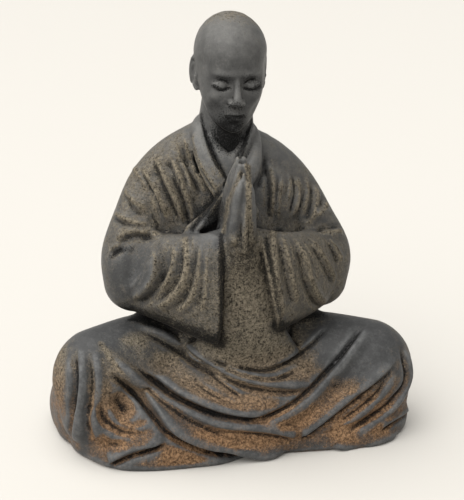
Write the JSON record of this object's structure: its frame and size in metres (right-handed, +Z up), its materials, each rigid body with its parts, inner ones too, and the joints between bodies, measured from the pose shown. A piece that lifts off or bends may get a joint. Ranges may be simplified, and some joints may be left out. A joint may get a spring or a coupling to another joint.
{
  "type": "seated monk figurine",
  "caption": "small cast figurine of a shaven-headed monk in a draped robe, seated cross-legged with palms joined before the chest",
  "frame": {"origin": "middle of the bounding box's underside, on the flat underside the figure stands on", "axes": "+Z up, the figure faces -Y, its right hand side is -X"},
  "size_m": [0.1186, 0.0626, 0.138],
  "materials": {
    "dark_patina": "cast resin, blue-black satin with a brown-gold powdery patina rubbed into the folds"
  },
  "bodies": {
    "root": {"monk_figurine": "dark_patina"}
  },
  "joints": []
}
